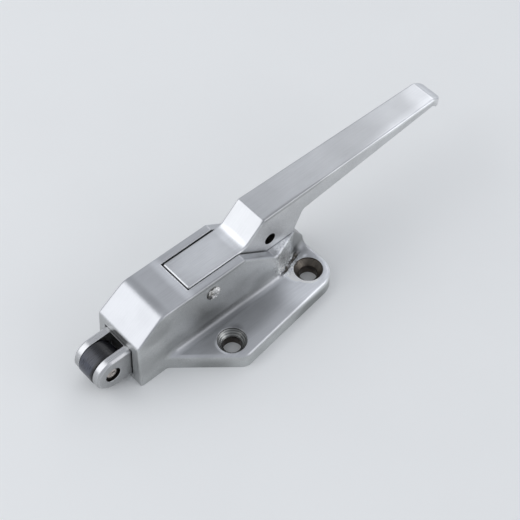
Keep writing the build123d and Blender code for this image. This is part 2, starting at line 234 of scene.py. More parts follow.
    def from_seam(self, start: Place, end: Place) -> Socket:
        """Distance, seen from above, to the straight line through two points, in metres.

        Args:
            start: One point on the line.
            end: Another point on it.

        Returns:
            The distance socket.
        """
        run = Vector((end[0] - start[0], end[1] - start[1], 0)).normalized()
        beside = self.reckon("DOT_PRODUCT", self.scaled((1, 1, 1), start), (-run.y, run.x, 0))
        return self.sum_up("ABSOLUTE", beside.outputs["Value"])

    def around(self, centre: Place, reach: Place, core: float = 0.35) -> Socket:
        """Share that is 1 round a point, out to a core, and fades to 0 at a reach in metres."""
        away = self.reckon("LENGTH", self.scaled(tuple(1 / part for part in reach), centre))
        return self.fit(away.outputs["Value"], core, 1.0, 1.0, 0.0)

    def worn_edges(self, radius: float) -> Socket:
        """Normal that rounds every sharp edge to a radius in metres."""
        return self.add("ShaderNodeBevel", {"Radius": radius}, samples=6).outputs["Normal"]

    def edges(self, radius: float) -> Socket:
        """Share from 0 to 1 that is high along sharp edges, where handling has polished them and
        where a painted highlight lightens them.

        Args:
            radius: Reach of the edge in metres.

        Returns:
            The share socket.
        """
        plain = self.add("ShaderNodeNewGeometry", {}).outputs["Normal"]
        likeness = self.reckon("DOT_PRODUCT", self.worn_edges(radius), plain)
        return self.fit(likeness.outputs["Value"], *EDGE_LIKENESS, 1.0, 0.0)

    def bump(self, height: Socket, depth: float, strength: float, over: Socket) -> Socket:
        """Raise a normal by a height from 0 to 1, of which 1 is a depth in metres."""
        feeds = {"Height": height, "Distance": depth, "Strength": strength, "Normal": over}
        return self.add("ShaderNodeBump", feeds).outputs["Normal"]


@dataclass(frozen=True)
class Patch:
    """Part of a surface painted lighter or darker: painted light and shade.

    Args:
        centre: Its middle.
        reach: Its half widths along X, Y and Z.
        factor: How much lighter or darker it is.
        core: Part of the way out over which it keeps its full strength.
    """

    centre: Place
    reach: Place
    factor: float
    core: float = 0.35

    def paint(self, bench: ShaderBench, colour: object) -> Socket:
        """Lay the patch over a colour."""
        return bench.lighten(bench.around(self.centre, self.reach, self.core), colour, self.factor)


@dataclass(frozen=True)
class Bore:
    """Machined hole in a casting.

    Args:
        centre: Point on its axis.
        axis: Direction of that axis.
        radius: Radius of the machined surface in metres.
        span: Least and greatest distance of that surface from the origin, along the axis.
        tint: Colour of the machined surface, set lighter or darker as painted light and shade.
        pitch: Distance between the tool's rings in metres.
        glint: Middle of a painted highlight on its rim, or None.
        glint_reach: Half widths of that part.
        rim: Distances past the radius between which the painted highlight fades.
        fade: Width over which the machined surface ends, sideways and along the axis.
    """

    centre: Place
    axis: Axis
    radius: float
    span: tuple[float, float]
    tint: Tint
    pitch: float = 0.5 * MM
    glint: Place | None = None
    glint_reach: Place = spot(6.5, 6.5, 2.5)
    rim: tuple[float, float] = (0.5 * MM, 1.7 * MM)
    fade: tuple[float, float] = (0.12 * MM, 0.06 * MM)

    def machine(self, bench: ShaderBench, colour: object, rough: object,
                relief: Socket) -> tuple[object, object, Socket]:
        """Turn the hole into a casting's finish.

        Args:
            bench: Material to work on.
            colour: Colour so far.
            rough: Roughness so far.
            relief: Normal so far.

        Returns:
            The new colour, roughness and normal.
        """
        away = bench.from_line(self.centre, self.axis)
        # Painted highlight on one side of the rim.
        if self.glint is not None:
            near, far = self.rim
            rim = bench.fit(away, self.radius + near, self.radius + far, 1.0, 0.0)
            rim = bench.times(rim, bench.around(self.glint, self.glint_reach))
            colour = bench.lighten(rim, colour, 1.75)
        place = bench.along(self.axis)
        depth = bench.sum_up("ABSOLUTE", place)
        low, high = self.span
        sideways, lengthways = self.fade
        inside = bench.times(
            bench.fit(away, self.radius, self.radius + sideways, 1.0, 0.0),
            bench.fit(depth, low, low + lengthways),
            bench.fit(depth, high - lengthways, high, 1.0, 0.0),
        )
        rings = bench.wave(place, self.pitch)
        turned = bench.mix(bench.fit(rings, -1.0, 1.0), shade(self.tint, 0.66),
                           shade(self.tint, 1.32))
        colour = bench.mix(inside, colour, turned)
        rough = bench.level(inside, rough, bench.fit(rings, -1.0, 1.0, 0.26, 0.40))
        relief = bench.bump(bench.sum_up("MULTIPLY", rings, inside), 0.035 * MM, 0.7, relief)
        return colour, rough, relief


@dataclass(frozen=True)
class RoughCorner:
    """Corner where the casting was left rough: a groove darkened as painted shade, and burrs
    lightened as painted highlights.

    Args:
        start: One end of the groove.
        end: The other end.
        reach: Half widths of the rough place along X, Y and Z.
        width: Half width of the groove.
        wander: How far the groove strays from its straight line.
        burr_edge: Places along Y, from the groove's middle, with few burrs and with all.
        sand_offset: Middle of the sandy place, from the groove's.
        sand_reach: Half widths of the sandy place.
        groove_shade: Colour of the groove, a painted shade.
        burr_highlight: Colour of the burrs, a painted highlight.
    """

    start: Place
    end: Place
    reach: Place
    width: float = 0.90 * MM
    wander: float = 0.40 * MM
    burr_edge: tuple[float, float] = (1.4 * MM, -0.2 * MM)
    sand_offset: Place = spot(-2, 0, 6)
    sand_reach: Place = spot(13, 8, 14)
    groove_shade: Tint = (0.040, 0.034, 0.026)
    burr_highlight: Tint = (0.93, 0.93, 0.92)

    def mark(self, bench: ShaderBench, colour: object, relief: Socket) -> tuple[object, Socket]:
        """Add the groove and the burrs to a casting's colour and relief.

        Args:
            bench: Material to work on.
            colour: Colour so far.
            relief: Normal so far.

        Returns:
            The new colour and the new normal.
        """
        middle = tuple((a + b) / 2 for a, b in zip(self.start, self.end))
        near = bench.around(middle, self.reach, 0.60)
        few, all_stand = (middle[1] + place for place in self.burr_edge)
        outer = bench.fit(bench.along(Axis.Y), few, all_stand, 0.35, 1.0)
        wander = bench.fit(bench.noise(300, 3.0, 0.6), 0.3, 0.7, -self.wander, self.wander)
        away = bench.sum_up("ADD", bench.from_seam(self.start, self.end), wander)
        groove = bench.times(bench.fit(away, 0.45 * self.width, self.width, 1.0, 0.0), near,
                             bench.fit(bench.noise(420, 2.0), 0.30, 0.48, 0.72, 1.0))
        whole = bench.sum_up("SUBTRACT", 1.0, groove)
        beside = bench.fit(away, 1.2 * self.width, 3.4 * self.width, 1.0, 0.0)
        burrs = bench.times(bench.fit(bench.noise(620, 3.0, 0.6), 0.50, 0.60), near, beside,
                            whole, outer)
        pits = bench.times(bench.fit(bench.noise(760, 2.0), 0.46, 0.36), near, beside)
        colour = bench.lighten(bench.times(pits, 0.8), colour, 0.35)
        sandy = bench.around(tuple(a + b for a, b in zip(middle, self.sand_offset)),
                             self.sand_reach, 0.7)
        colour = bench.speckle(bench.noise(950, 2.0, 0.6), SAND_TONES, colour, sandy)
        # Painted shade in the groove and painted highlights on the burrs.
        colour = bench.mix(bench.times(groove, 0.95), colour, shade(self.groove_shade))
        colour = bench.mix(bench.times(burrs, 0.85), colour, shade(self.burr_highlight))
        relief = bench.bump(burrs, 0.7 * MM, 0.9, relief)
        relief = bench.bump(whole, 0.9 * MM, 0.9, relief)
        return colour, relief


@dataclass(frozen=True)
class GroundCasting:
    """Ground stainless casting: belt-ground on top, duller and pitted on its sides.

    Args:
        name: Name of the material.
        top: Colour of the ground faces.
        side: Colour of the upright faces; where it differs from the top's, the difference is
            painted light and shade.
        gloss: Roughness of the ground faces.
        dullness: Roughness of the upright faces.
        bores: Machined holes.
        patches: Places of painted light and shade.
        traces: Painted light and shade that reach over the polished edges and their painted
            highlight.
        stains_and_shade: Painted shade that reaches into the bores.
        corner: The place where the casting was left rough.
        bright_edge: Colour of edges that handling has polished, lightened further as a painted
            highlight.
        softness: Radius in metres to which wear has rounded its edges.
        polish_and_sheen: Share of the bright colour that its edges take, for handling's wear and a
            painted highlight.
    """

    name: str
    top: Tint = (0.55, 0.56, 0.585)
    side: Tint = (0.57, 0.58, 0.58)
    gloss: float = 0.36
    dullness: float = 0.42
    bores: tuple[Bore, ...] = ()
    patches: tuple[Patch, ...] = ()
    traces: tuple[Patch, ...] = ()
    stains_and_shade: tuple[Patch, ...] = ()
    corner: RoughCorner | None = None
    bright_edge: Tint = (0.84, 0.85, 0.87)
    softness: float = 0.5 * MM
    polish_and_sheen: float = 0.8

    def build(self) -> bpy.types.Material:
        """Make the material."""
        bench = ShaderBench(self.name)
        upright = bench.fit(bench.part("Normal", Axis.Z), 0.30, 0.72, 1.0, 0.0)
        clouds = bench.noise((60, 85, 85), 4.0)
        belt = bench.level(upright, bench.noise((75, 2300, 75), 3.0, 0.6),
                           bench.noise((120, 120, 2300), 3.0, 0.6))
        hairlines = bench.noise((260, 5200, 5200), 2.0)
        grit = bench.noise(1300, 4.0, 0.65)

        top = bench.mix(bench.fit(clouds, 0.35, 0.68), shade(self.top), shade(self.top, 0.95))
        top = bench.speckle(belt, BELT_TONES, top)
        side = bench.mix(bench.fit(clouds, 0.3, 0.7), shade(self.side), shade(self.side, 0.89))
        side = bench.speckle(grit, GRIT_TONES, side)
        # Top and upright faces take their own tints; a difference between them is painted light
        # and shade.
        colour = bench.mix(upright, top, side)
        # Painted light and shade over the casting's colour.
        for patch in self.patches:
            colour = patch.paint(bench, colour)
        ground = bench.fit(belt, 0.25, 0.75, self.gloss - 0.06, self.gloss + 0.08)
        pitted = bench.fit(grit, 0.3, 0.7, self.dullness - 0.05, self.dullness + 0.08)
        rough = bench.level(upright, ground, pitted)

        # Edges lightened towards bright_edge: partly polished by handling, partly a painted
        # highlight.
        wear_and_sheen = bench.times(bench.edges(self.softness), bench.fit(clouds, 0.15, 0.6, 0.45, 1.0),
                           self.polish_and_sheen)
        colour = bench.mix(wear_and_sheen, colour, shade(self.bright_edge))
        rough = bench.level(wear_and_sheen, rough, 0.24)
        # Painted light and shade laid over the edge highlights as well.
        for trace in self.traces:
            colour = trace.paint(bench, colour)

        relief = bench.worn_edges(self.softness)
        relief = bench.bump(bench.noise((55, 75, 75), 2.0), 0.45 * MM, 0.28, relief)
        relief = bench.bump(belt, 0.010 * MM, 0.6, relief)
        relief = bench.bump(hairlines, 0.005 * MM, 0.5, relief)
        relief = bench.bump(bench.times(grit, upright), 0.055 * MM, 0.8, relief)

        for bore in self.bores:
            colour, rough, relief = bore.machine(bench, colour, rough, relief)
        # Painted shade reaching into the bores.
        for stain_and_shade in self.stains_and_shade:
            colour = stain_and_shade.paint(bench, colour)
        if self.corner is not None:
            colour, relief = self.corner.mark(bench, colour, relief)
        bench.surface.inputs["Metallic"].default_value = 1.0
        return bench.hand_over(colour, rough, relief)


@dataclass(frozen=True)
class SmallMetal:
    """Metal of pins, screws, wire and sheet.

    Args:
        name: Name of the material.
        tint: Main colour.
        stain_and_shade: Colour of the darker patches.
        roughness: Mean roughness.
        grain: How the surface was finished.
        axis: Direction of the scratches, or of the axis that the rings go round.
        centre: Point on that axis.
        relief_depth: Depth of the marks in metres.
        patches: Places of painted shade and light.
        ring_pitch: Distance between a lathe's rings in metres.
        scratches: Scratches per metre across the grain of a belt.
        runs: Scratches per metre along it.
    """

    name: str
    tint: Tint
    stain_and_shade: Tint
    roughness: float
    grain: Grain
    axis: Axis = Axis.Y
    centre: Place = (0.0, 0.0, 0.0)
    relief_depth: float = 0.02 * MM
    patches: tuple[Patch, ...] = ()
    ring_pitch: float = 0.28 * MM
    scratches: float = 3200.0
    runs: float = 70.0

    def build(self) -> bpy.types.Material:
        """Make the material."""
        bench = ShaderBench(self.name)
        stains_and_shade = bench.fit(bench.noise(260, 4.0), 0.38, 0.66)
        colour = bench.mix(stains_and_shade, shade(self.tint), shade(self.stain_and_shade))
        # Painted shade from the patches.
        for patch in self.patches:
            colour = patch.paint(bench, colour)
        if self.grain is Grain.TURNED:
            rings = bench.wave(bench.from_line(self.centre, self.axis), self.ring_pitch)
            marks = bench.fit(rings, -1.0, 1.0)
        elif self.grain is Grain.BELT:
            scale = [self.scratches] * 3
            scale[self.axis.value] = self.runs
            marks = bench.noise(tuple(scale), 3.0)
        else:
            marks = bench.noise(2600, 2.0)
        rough = bench.fit(marks, 0.2, 0.8, self.roughness - 0.05, self.roughness + 0.08)
        relief = bench.bump(bench.noise(900, 3.0), 0.05 * MM, 0.5, bench.worn_edges(0.15 * MM))
        relief = bench.bump(marks, self.relief_depth, 0.6, relief)
        bench.surface.inputs["Metallic"].default_value = 1.0
        return bench.hand_over(colour, rough, relief)


@dataclass(frozen=True)
class RollerPolymer:
    """Black moulded wear roller, its rim lightened by rubbing and by a painted sheen, with painted
    shade on its near rim.

    Args:
        name: Name of the material.
        centre: Point on the roller's axis.
        radius: Outer radius in metres.
        tint: Colour of clean polymer.
        wear_and_sheen: Colour where the keeper's rubbing marks the rim, lightened further as a
            painted sheen.
        ring_pitch: Distance between the mould's rings in metres.
        sheen_and_wear_front: Places along X, from the axis, where the wear and the painted sheen
            set in and where they are full.
        near_rim_shade: Places along Y where the near rim's painted shade is full and where it
            ends.
    """

    name: str
    centre: Place
    radius: float
    tint: Tint = (0.004, 0.004, 0.006)
    wear_and_sheen: Tint = (0.062, 0.068, 0.092)
    ring_pitch: float = 0.5 * MM
    sheen_and_wear_front: tuple[float, float] = (1.0 * MM, -7.5 * MM)
    near_rim_shade: tuple[float, float] = (-4.7 * MM, -3.0 * MM)

    def build(self) -> bpy.types.Material:
        """Make the material."""
        bench = ShaderBench(self.name)
        reach = bench.from_line(self.centre, Axis.Y)
        rim = bench.fit(reach, self.radius - 0.5 * MM, self.radius - 0.05 * MM)
        smear = bench.noise((300, 1500, 300), 4.0, 0.6)
        start, full = (self.centre[0] + place for place in self.sheen_and_wear_front)
        front = bench.fit(bench.along(Axis.X), start, full, 0.06, 1.0)
        inner = bench.fit(bench.along(Axis.Y), *self.near_rim_shade)
        # Rubbed colour and painted sheen on the rim towards the front, kept off the near rim as
        # painted shade.
        rubbed_and_sheen = bench.times(bench.fit(smear, 0.30, 0.62, 0.35, 1.0), rim, front, inner)
        colour = bench.mix(rubbed_and_sheen, shade(self.tint), shade(self.wear_and_sheen))
        rough = bench.fit(smear, 0.3, 0.7, 0.25, 0.38)
        rings = bench.fit(bench.wave(bench.along(Axis.Y), self.ring_pitch), -1.0, 1.0)
        relief = bench.bump(bench.noise(1600, 3.0), 0.03 * MM, 0.6, bench.worn_edges(0.2 * MM))
        relief = bench.bump(rings, 0.010 * MM, 0.5, relief)
        bench.surface.inputs["IOR"].default_value = 1.52
        return bench.hand_over(colour, rough, relief)


class Workshop:
    """Edit-mode work that the modelled pieces share."""

    @staticmethod
    def clear() -> None:
        """Deselect every object."""
        if bpy.context.object is not None and bpy.context.object.mode != "OBJECT":
            bpy.ops.object.mode_set(mode="OBJECT")
        bpy.ops.object.select_all(action="DESELECT")

    @classmethod
    def rod(cls, name: str, centre: Place, radius: float, length: float, axis: Axis,
            sides: int) -> bpy.types.Object:
        """Add a round bar to start a piece from.

        Args:
            name: Name of the piece.
            centre: Middle of the bar.
            radius: Radius in metres.
            length: Length in metres.
            axis: Direction of the bar, Y or Z.
            sides: Sides of the circle.

        Returns:
            The new object, active and alone in the selection.
        """
        cls.clear()
        turn = (math.pi / 2 if axis is Axis.Y else 0, 0, 0)
        bpy.ops.mesh.primitive_cylinder_add(vertices=sides, radius=radius, depth=length,
                                            location=centre, rotation=turn)
        piece = bpy.context.object
        piece.name = name
        piece.data.name = name
        bpy.ops.object.transform_apply(location=True, rotation=True, scale=True)
        return piece

    @staticmethod
    def pick(piece: bpy.types.Object, kind: str, test: Callable[[object], bool]) -> None:
        """Select only the faces or the edges that pass a test, and open edit mode on them.

        Args:
            piece: Active object.
            kind: FACE or EDGE.
            test: Says whether a face or an edge is wanted.
        """
        bpy.ops.object.mode_set(mode="OBJECT")
        mesh = piece.data
        for part in (*mesh.vertices, *mesh.edges, *mesh.polygons):
            part.select = False
        for part in mesh.polygons if kind == "FACE" else mesh.edges:
            part.select = test(part)
        bpy.ops.object.mode_set(mode="EDIT")
        bpy.ops.mesh.select_mode(type=kind)

    @staticmethod
    def draw_out(move: Place) -> None:
        """Extrude the selected face by a move."""
        bpy.ops.mesh.extrude_region_move(TRANSFORM_OT_translate={"value": move})

    @staticmethod
    def crown(steps: Rows) -> None:
        """Inset the selected face again and again, by widths and rises in millimetres."""
        for width, rise in steps:
            bpy.ops.mesh.inset(thickness=width * MM, depth=rise * MM)

    @staticmethod
    def finish(piece: bpy.types.Object, material: bpy.types.Material, body: str, slot: str,
               smooth_angle: float = 38.0) -> None:
        """Close a modelled piece: normals, shading, material and body.

        Args:
            piece: Active object.
            material: Its finish.
            body: Body that it rides on.
            slot: Name of a material slot; not used.
            smooth_angle: Edges sharper than this stay sharp, in degrees.
        """
        bpy.ops.object.mode_set(mode="EDIT")
        bpy.ops.mesh.select_all(action="SELECT")
        bpy.ops.mesh.remove_doubles(threshold=WELD)
        bpy.ops.mesh.normals_make_consistent(inside=False)
        bpy.ops.object.mode_set(mode="OBJECT")
        bpy.ops.object.shade_smooth_by_angle(angle=math.radians(smooth_angle))
        piece.data.materials.clear()
        piece.data.materials.append(material)
        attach(piece, body)
        log.info("%s: %d faces on body %s", piece.name, len(piece.data.polygons), body)

    @staticmethod
    def dress(node: str, material: bpy.types.Material) -> None:
        """Give a CAD node a finish.

        Args:
            node: Name of the node.
            material: Its finish.
        """
        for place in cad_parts[node].material_slots:
            place.material = material
        log.info("%s: %s", node, material.name)


@dataclass
class HousingGroup:
    """Cast housing with its flange, and the riveted pin that carries the handle.

    Args:
        hole_1: Centre of the mounting hole near the roller.
        hole_2: Centre of the mounting hole near the tail.
        sink_radius: Radius of the sunk holes in metres.
        sink_span: Heights between which a sunk hole is machined.
        throat_radius: Radius within which a sunk hole is its throat, painted dark as shade.
        throat_span: Heights between which that throat runs.
        pin_place: Middle of the handle pin.
        shank_radius: Radius of the pin.
        shank_cut: How far the pin's plain shank stops short of each end.
        head_radius: Radius of the pin's peened heads.
        head_neck: Length over which a head flares.
        head_rim: Height of a head's rim.
        head_steps: Width and rise of each ring of a head's dome, in millimetres.
        dent: How far the hammer moved the metal.
        dented: Length at each end that shows the hammer's marks.
    """

    hole_1: Place = spot(-1.7, -30.0, 0)
    hole_2: Place = spot(55.8, -22.8, 0)
    sink_radius: float = 7.5 * MM
    sink_span: tuple[float, float] = (0.1 * MM, 8.9 * MM)
    throat_radius: float = 4.9 * MM
    throat_span: tuple[float, float] = (0.1 * MM, 5.3 * MM)
    pin_place: Place = spot(0, 0, 31.8)
    shank_radius: float = 2.5 * MM
    shank_cut: float = 1.8 * MM
    head_radius: float = 3.95 * MM
    head_neck: float = 1.0 * MM
    head_rim: float = 0.25 * MM
    head_steps: Rows = ((0.45, 0.26), (0.55, 0.16), (0.60, 0.10), (0.70, 0.04), (0.60, -0.10))
    dent: float = 0.42 * MM
    dented: float = 1.35 * MM

    def build(self) -> None:
        """Dress the casting and model the pin."""
        Workshop.dress("housing", self.casting_finish().build())
        self.pin()

    def sunk_holes(self) -> tuple[Bore, ...]:
        """The two machined mounting holes: a lighter and a darker cone as painted light and shade,
        a painted highlight on each rim, and a painted shade in each throat.
        """
        return (
            # The same machined steel in a lighter and a darker tint as painted light and shade,
            # each with a painted highlight on its rim.
            Bore(self.hole_1, Axis.Z, self.sink_radius, self.sink_span, (0.36, 0.365, 0.36),
                 0.95 * MM, spot(-9.4, -29.8, 9)),
            Bore(self.hole_2, Axis.Z, self.sink_radius, self.sink_span, (0.175, 0.155, 0.135),
                 0.45 * MM, spot(50.0, -28.5, 9)),
            # Dark throats: painted shade in the deep holes.
            Bore(self.hole_1, Axis.Z, self.throat_radius, self.throat_span, (0.085, 0.072, 0.062)),
            Bore(self.hole_2, Axis.Z, self.throat_radius, self.throat_span, (0.110, 0.092, 0.078)),
        )

    def casting_finish(self) -> GroundCasting:
        """Finish of the casting, with its machined holes, the rough corner by the tail, and
        painted light and shade.
        """
        arm_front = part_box("handle")[0][0]
        return GroundCasting(
            name="ground_housing",
            side=(0.55, 0.56, 0.56),
            softness=0.85 * MM,
            polish_and_sheen=0.25,
            bores=self.sunk_holes(),
            # Painted shade and light on the side wall, the root fillet, the flange and the tail's
            # two facets.
            patches=(
                Patch(spot(-5, -16, 16), spot(15, 7, 8), 0.74),
                Patch(spot(-44, -16, 13), spot(11, 3, 10), 0.85),
                Patch(spot(22, -16, 22), spot(18, 3, 7), 0.90),
                Patch(spot(34, -16, 14), spot(15, 4, 8), 0.76),
                Patch(spot(-26, -16.2, 14), spot(16, 3, 7), 0.78),
                Patch(spot(4, -17.5, 10.5), spot(38, 4.6, 4.2), 0.46),
                Patch(spot(8, -26, 9), spot(36, 11, 4.5), 0.68),
                Patch(spot(-16, -31, 2.0), spot(19, 14, 7.0), 0.68, 0.1),
                Patch(spot(52, -31, 9), spot(24, 16, 5), 1.60),
                Patch(spot(48.0, -14, 17), spot(7.5, 15, 16), 1.62, 0.70),
                Patch(spot(63, -8, 18), spot(8.5, 12, 12), 0.72, 0.82),
                Patch(spot(10, -42, 3), spot(40, 9, 7), 1.18),
                Patch(spot(46, -37, 2), spot(16, 8, 6), 0.74),
                Patch(spot(67, -21, 8), spot(7, 18, 6), 1.25),
            ),
            # Painted highlights and shade along edges, across the land and at the tail's root.
            traces=(
                Patch(spot(0, -15.4, 39.0), spot(32, 1.9, 1.9), 0.70, 0.6),
                Patch(spot(-36, -15.6, 32.0), spot(12, 1.9, 9.0), 0.82, 0.6),
                Patch((arm_front - 2.2 * MM, 0, 39.5 * MM), spot(4.5, 30, 1.5), 1.38, 0.1),
                Patch(spot(-28, 0, 39.5), spot(3.4, 30, 1.5), 0.80, 0.1),
                Patch(spot(42.3, -16.3, 17), spot(1.4, 1.8, 9), 1.55, 0.5),
                Patch(spot(60.2, -15.4, 10.4), spot(3.0, 1.8, 2.0), 1.9, 0.5),
                Patch(spot(58.3, -12.2, 11.8), spot(4.8, 3.6, 4.6), 0.26, 0.35),
            ),
            # Painted shade inside the two sunk holes.
            stains_and_shade=(
                Patch(spot(4.0, -26.5, 6.5), spot(6, 5.5, 4.5), 0.46, 0.4),
                Patch(spot(60.5, -20.5, 6.0), spot(5, 5, 5), 0.50, 0.4),
            ),
            corner=RoughCorner(spot(58.5, -11.9, 11.6), spot(42.6, -17.5, 10.0), spot(13, 5, 4.5)),
        )

    def pin(self) -> None:
        """Handle pin: a turned shank whose two ends are peened over by hand."""
        low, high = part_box("handle_pin")
        half = (high[1] - low[1]) / 2
        piece = Workshop.rod("handle_pin_peened", self.pin_place, self.shank_radius,
                             2 * (half - self.shank_cut), Axis.Y, 48)
        flare = self.head_radius / self.shank_radius
        for side in (-1, 1):
            Workshop.pick(piece, "FACE", lambda face, side=side: (
                face.center.y * side > 0 and abs(face.normal.y) > FACING))
            Workshop.draw_out((0, side * self.head_neck, 0))
            bpy.ops.transform.resize(value=(flare, 1, flare), center_override=self.pin_place)
            Workshop.draw_out((0, side * self.head_rim, 0))
            Workshop.crown(self.head_steps)
            self.hammer(piece, side, half - self.dented)
        bpy.ops.object.mode_set(mode="OBJECT")
        # Painted shadow at the left of each head, where the head meets the wall.
        left, low_side = self.pin_place[0] - 3.3 * MM, self.pin_place[2] - 1.2 * MM
        ends = (low[1] + 0.4 * MM, high[1] - 0.4 * MM)
        finish = SmallMetal(
            "peened_pin", (0.88, 0.87, 0.86), (0.30, 0.29, 0.27), 0.26, Grain.BLAST,
            relief_depth=0.14 * MM,
            patches=tuple(Patch((left, end, low_side), spot(2.3, 2.5, 3.6), 0.20) for end in ends))
        Workshop.finish(piece, finish.build(), "frame", "pin_steel", 28.0)
        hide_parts("handle_pin")

    def hammer(self, piece: bpy.types.Object, side: int, beyond: float) -> None:
        """Dent one end of the pin unevenly, as a hammer leaves it.

        Args:
            piece: The pin.
            side: Which end, as the sign of its Y.
            beyond: Only faces further from the middle than this are dented.
        """
        Workshop.pick(piece, "FACE", lambda face: face.center.y * side > beyond)
        bpy.ops.transform.vertex_random(offset=self.dent, uniform=0.0, normal=1.0, seed=5 + side)
        bpy.ops.mesh.vertices_smooth(factor=0.35, repeat=1)
        bpy.ops.transform.resize(value=(1.06, 1, 0.92), center_override=self.pin_place)


@dataclass
class TongueGroup:
    """Sliding tongue, its black roller, the bush and the riveted axle.

    Args:
        axle_place: Middle of the roller's axle.
        recess_radius: Radius of the recesses round the axle's ends.
        roller_radius: Outer radius of the roller.
        bore_radius: Radius of the bore that holds the bush.
        roller_width: Width of the roller.
        rim_round: Rounding of the roller's rims.
        axle_radius: Radius of the axle.
        axle_cut: How much shorter the axle's plain bar is than the axle.
        axle_steps: Width and rise of each ring of an end's dome, in millimetres.
        dent_shade_offset: Middle of the painted shade that stands for a staked dent in an end,
            along X and Z from the axle's.
    """

    axle_place: Place = spot(-58.8, 0, 13.2)
    recess_radius: float = 4.30 * MM
    roller_radius: float = 9.65 * MM
    bore_radius: float = 4.15 * MM
    roller_width: float = 10.6 * MM
    rim_round: float = 0.6 * MM
    axle_radius: float = 2.9 * MM
    axle_cut: float = 1.0 * MM
    axle_steps: Rows = ((0.35, 0.22), (0.70, 0.16), (0.55, 0.08), (0.30, -0.30))
    dent_shade_offset: tuple[float, float] = (0.6 * MM, 0.8 * MM)

    def build(self) -> None:
        """Dress the tongue and bush, and model the roller and the axle."""
        # Dark tint round the axle's ends: painted shade in the recesses.
        recess = Bore(self.axle_place, Axis.Y, self.recess_radius, (0.0, 9.5 * MM),
                      (0.035, 0.032, 0.028))
        tongue = GroundCasting(
            name="ground_tongue",
            # Sides darker than the top: painted shade.
            top=(0.58, 0.585, 0.60),
            side=(0.48, 0.485, 0.49),
            gloss=0.30,
            dullness=0.34,
            bores=(recess,),
            # Painted shade on the web's top, behind the roller.
            traces=(Patch(spot(-47.7, 0, 22.9), spot(1.6, 7.0, 2.2), 0.20, 0.75),),
        )
        Workshop.dress("tongue", tongue.build())
        bush = SmallMetal("bronze_bush", (0.55, 0.38, 0.19), (0.36, 0.24, 0.13), 0.38,
                          Grain.TURNED, Axis.Y, self.axle_place)
        Workshop.dress("roller_bush", bush.build())
        self.roller()
        self.axle()

    def on_ring(self, piece: bpy.types.Object, edge: bpy.types.MeshEdge, radius: float) -> bool:
        """Whether an edge runs round the axle's line at a radius.

        Args:
            piece: Object that the edge belongs to.
            edge: The edge.
            radius: Radius of the ring.

        Returns:
            True where the edge lies on the ring.
        """
        x, _, z = self.axle_place
        ends = [piece.data.vertices[i].co for i in edge.vertices]
        off = max(abs(math.hypot(p.x - x, p.z - z) - radius) for p in ends)
        return off < TOUCH and abs(ends[0].y - ends[1].y) < TOUCH

    def roller(self) -> None:
        """Roller: a bar opened by a bore, with rounded rims."""
        piece = Workshop.rod("wear_roller", self.axle_place, self.roller_radius,
                             self.roller_width, Axis.Y, 96)
        Workshop.pick(piece, "FACE", lambda face: abs(face.normal.y) > FACING)
        bpy.ops.mesh.inset(thickness=self.roller_radius - self.bore_radius, depth=0)
        bpy.ops.mesh.delete(type="FACE")
        Workshop.pick(piece, "EDGE", lambda edge: self.on_ring(piece, edge, self.bore_radius))
        bpy.ops.mesh.bridge_edge_loops()
        Workshop.pick(piece, "EDGE", lambda edge: self.on_ring(piece, edge, self.roller_radius))
        bpy.ops.mesh.bevel(offset=self.rim_round, segments=5, profile=0.5, affect="EDGES")
        finish = RollerPolymer("black_roller", self.axle_place, self.roller_radius)
        Workshop.finish(piece, finish.build(), "roller", "roller_polymer")
        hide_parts("roller")

    def axle(self) -> None:
        """Axle: a turned pin whose ends are domed, with painted shade near the middle of one end
        standing for a staked dent.
        """
        low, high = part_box("roller_axle")
        piece = Workshop.rod("riveted_axle", self.axle_place, self.axle_radius,
                             high[1] - low[1] - self.axle_cut, Axis.Y, 48)
        for side in (-1, 1):
            Workshop.pick(piece, "FACE", lambda face, side=side: face.normal.y * side > FACING)
            Workshop.crown(self.axle_steps)
        bpy.ops.object.mode_set(mode="OBJECT")
        # Painted shade in place of a staked dent.
        ahead, above = self.dent_shade_offset
        dent = Patch((self.axle_place[0] + ahead, low[1], self.axle_place[2] + above),
                     spot(1.4, 3.0, 1.0), 0.14, 0.5)
        finish = SmallMetal("turned_axle", (0.62, 0.57, 0.53), (0.40, 0.36, 0.33), 0.26,
                            Grain.TURNED, Axis.Y, self.axle_place, patches=(dent,))
        Workshop.finish(piece, finish.build(), "tongue", "pin_steel")
        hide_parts("roller_axle")


@dataclass
class HandleGroup:
    """Cast lever handle.

    Args:
        lock_place: Middle of the lock hole.
        lock_radius: Radius within which the hole's wall is painted dark as shade.
        lock_reach: How far from the midplane the hole's wall runs.
    """

    lock_place: Place = spot(41.3, 0, 33.45)
    lock_radius: float = 3.4 * MM
    lock_reach: float = 9.68 * MM

    def build(self) -> None:
        """Dress the handle."""
        lock_hole = Bore(self.lock_place, Axis.Y, self.lock_radius, (0.0, self.lock_reach),
                         (0.05, 0.047, 0.043))
        finish = GroundCasting(
            name="ground_handle",
            top=(0.58, 0.59, 0.61),
            # Sides lighter than the top: painted light.
            side=(0.69, 0.695, 0.70),
            gloss=0.34,
            dullness=0.38,
            bores=(lock_hole,),
            # Painted light and shade along the arm, the lever's top and its tip.
            patches=(
                Patch(spot(8, 0, 39.5), spot(26, 16, 4), 1.28),
                Patch(spot(24, 0, 40.0), spot(5, 16, 3), 1.32),
                Patch(spot(46, 0, 50.6), spot(14, 16, 3), 0.95),
                Patch(spot(108, 0, 50.6), spot(26, 16, 3), 0.90),
                Patch(spot(156, 0, 50.6), spot(13, 18, 2.5), 1.22),
                Patch(spot(161.5, 0, 48.0), spot(5.5, 16, 5), 1.22, 0.60),
            ),
            # Painted shade and highlights along the lever's near edge.
            traces=(
                Patch(spot(56, -9.6, 50.2), spot(34, 2.2, 2.2), 0.74, 0.6),
                Patch(spot(130, -8.6, 50.2), spot(38, 2.2, 2.2), 1.15, 0.6),
                Patch(spot(140, -8.6, 50.6), spot(42, 6.5, 2.0), 1.28, 0.1),
            ),
        )
        Workshop.dress("handle", finish.build())


